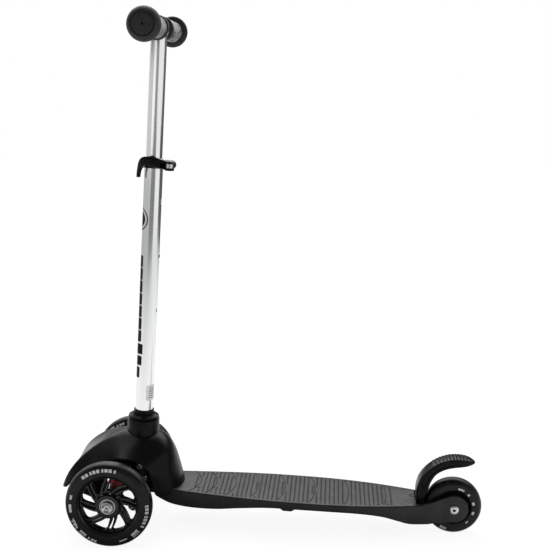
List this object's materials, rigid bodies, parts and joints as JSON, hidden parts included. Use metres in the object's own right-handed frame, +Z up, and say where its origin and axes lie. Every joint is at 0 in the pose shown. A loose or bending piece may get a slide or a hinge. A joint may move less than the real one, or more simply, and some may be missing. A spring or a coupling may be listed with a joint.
{
  "type": "three-wheel kick scooter",
  "caption": "Lean-to-steer kick scooter with paired front wheels on knuckles joined by a tie rod, a low dotted deck, a foot brake over the rear wheel and a height-adjustable T-bar.",
  "frame": {"origin": "on the floor under the middle of the bounding box, in the plane half-way between the front wheels", "axes": "+X points to the rear wheel and -X forward, the way the rider faces; +Y is the rider's right; +Z is up. All three wheels stand on z = 0."},
  "size_m": [0.5914, 0.24, 0.7189],
  "materials": {
    "black_nylon": "satin moulded",
    "deck_nylon": "satin moulded with a dotted grip pattern",
    "tyre_urethane": "cast elastomer, satin",
    "rim_nylon": "moulded, satin",
    "grip_rubber": "matte",
    "tube_aluminium": "polished and clear anodised",
    "cast_alloy": "die cast, tumbled",
    "zinc_steel": "bright zinc plated",
    "spring_steel": "oiled, dark",
    "bearing_steel": "ground",
    "red_elastomer": "cast elastomer, satin"
  },
  "bodies": {
    "chassis": {"deck": "deck_nylon", "front_cover": "black_nylon", "left_cover_screw": "zinc_steel", "right_cover_screw": "zinc_steel", "front_bridge": "cast_alloy", "lower_tube": "tube_aluminium", "stem_collar": "black_nylon", "stem_bolt": "zinc_steel", "stem_nut": "zinc_steel", "left_kingpin": "zinc_steel", "right_kingpin": "zinc_steel", "left_kingpin_nut": "zinc_steel", "right_kingpin_nut": "zinc_steel", "left_steering_bush": "red_elastomer", "right_steering_bush": "red_elastomer", "left_deck_bolt": "zinc_steel", "right_deck_bolt": "zinc_steel", "clamp_collar": "black_nylon", "clamp_skewer": "zinc_steel", "clamp_nut": "zinc_steel", "brake_pin": "zinc_steel", "brake_spring": "spring_steel", "rear_axle_bolt": "zinc_steel", "rear_axle_nut": "zinc_steel"},
    "left_steering": {"left_knuckle": "cast_alloy", "left_axle_bolt": "zinc_steel", "left_tie_rod_pin": "zinc_steel"},
    "right_steering": {"right_knuckle": "cast_alloy", "right_axle_bolt": "zinc_steel", "right_tie_rod_pin": "zinc_steel"},
    "steering_link": {"tie_rod": "zinc_steel"},
    "left_wheel": {"left_tyre": "tyre_urethane", "left_rim": "rim_nylon", "left_inner_bearing": "bearing_steel", "left_outer_bearing": "bearing_steel", "left_bearing_spacer": "zinc_steel"},
    "right_wheel": {"right_tyre": "tyre_urethane", "right_rim": "rim_nylon", "right_inner_bearing": "bearing_steel", "right_outer_bearing": "bearing_steel", "right_bearing_spacer": "zinc_steel"},
    "rear_wheel": {"rear_tyre": "tyre_urethane", "rear_rim": "rim_nylon", "rear_left_bearing": "bearing_steel", "rear_right_bearing": "bearing_steel", "rear_bearing_spacer": "zinc_steel"},
    "bar": {"handlebar": "tube_aluminium", "left_grip": "grip_rubber", "right_grip": "grip_rubber", "height_button_clip": "spring_steel"},
    "quick_release": {"clamp_lever": "black_nylon"},
    "brake": {"rear_brake": "black_nylon"}
  },
  "joints": [
    {"name": "left_steer", "type": "hinge", "parent": "chassis", "child": "left_steering", "pos_m": [-0.21925, -0.064, 0.06], "axis": [0.2419, 0, 0.9703], "range_deg": [-15, 15], "stiffness_Nm_per_rad": 3},
    {"name": "right_steer", "type": "hinge", "parent": "chassis", "child": "right_steering", "pos_m": [-0.21925, 0.064, 0.06], "axis": [0.2419, 0, 0.9703], "range_deg": [-15, 15]},
    {"name": "tie_rod_turn", "type": "hinge", "parent": "left_steering", "child": "steering_link", "pos_m": [-0.19014, -0.064, 0.05274], "axis": [0.2419, 0, 0.9703], "range_deg": [-15, 15]},
    {"name": "left_wheel_spin", "type": "hinge", "parent": "left_steering", "child": "left_wheel", "pos_m": [-0.21925, -0.095, 0.06], "axis": [0, 1, 0], "continuous": true},
    {"name": "right_wheel_spin", "type": "hinge", "parent": "right_steering", "child": "right_wheel", "pos_m": [-0.21925, 0.095, 0.06], "axis": [0, 1, 0], "continuous": true},
    {"name": "rear_wheel_spin", "type": "hinge", "parent": "chassis", "child": "rear_wheel", "pos_m": [0.25575, 0, 0.04], "axis": [0, 1, 0], "continuous": true},
    {"name": "handlebar_height", "type": "slide", "parent": "chassis", "child": "bar", "axis": [0.049, 0, 0.9988], "range_m": [-0.0775, 0.0775], "deforming": ["height_button_clip"]},
    {"name": "clamp_lever_swing", "type": "hinge", "parent": "chassis", "child": "quick_release", "pos_m": [-0.14667, -0.0145, 0.51527], "axis": [0.049, 0, 0.9988], "range_deg": [0, 100]},
    {"name": "rear_brake_press", "type": "hinge", "parent": "chassis", "child": "brake", "pos_m": [0.20825, 0, 0.04], "axis": [0, 1, 0], "range_deg": [0, 6.4], "stiffness_Nm_per_rad": 2, "springref_deg": -8.59, "deforming": ["brake_spring"]}
  ],
  "couplings": [
    {"joint": "right_steer", "follows": "left_steer", "ratio": 1},
    {"joint": "tie_rod_turn", "follows": "left_steer", "ratio": -1}
  ]
}
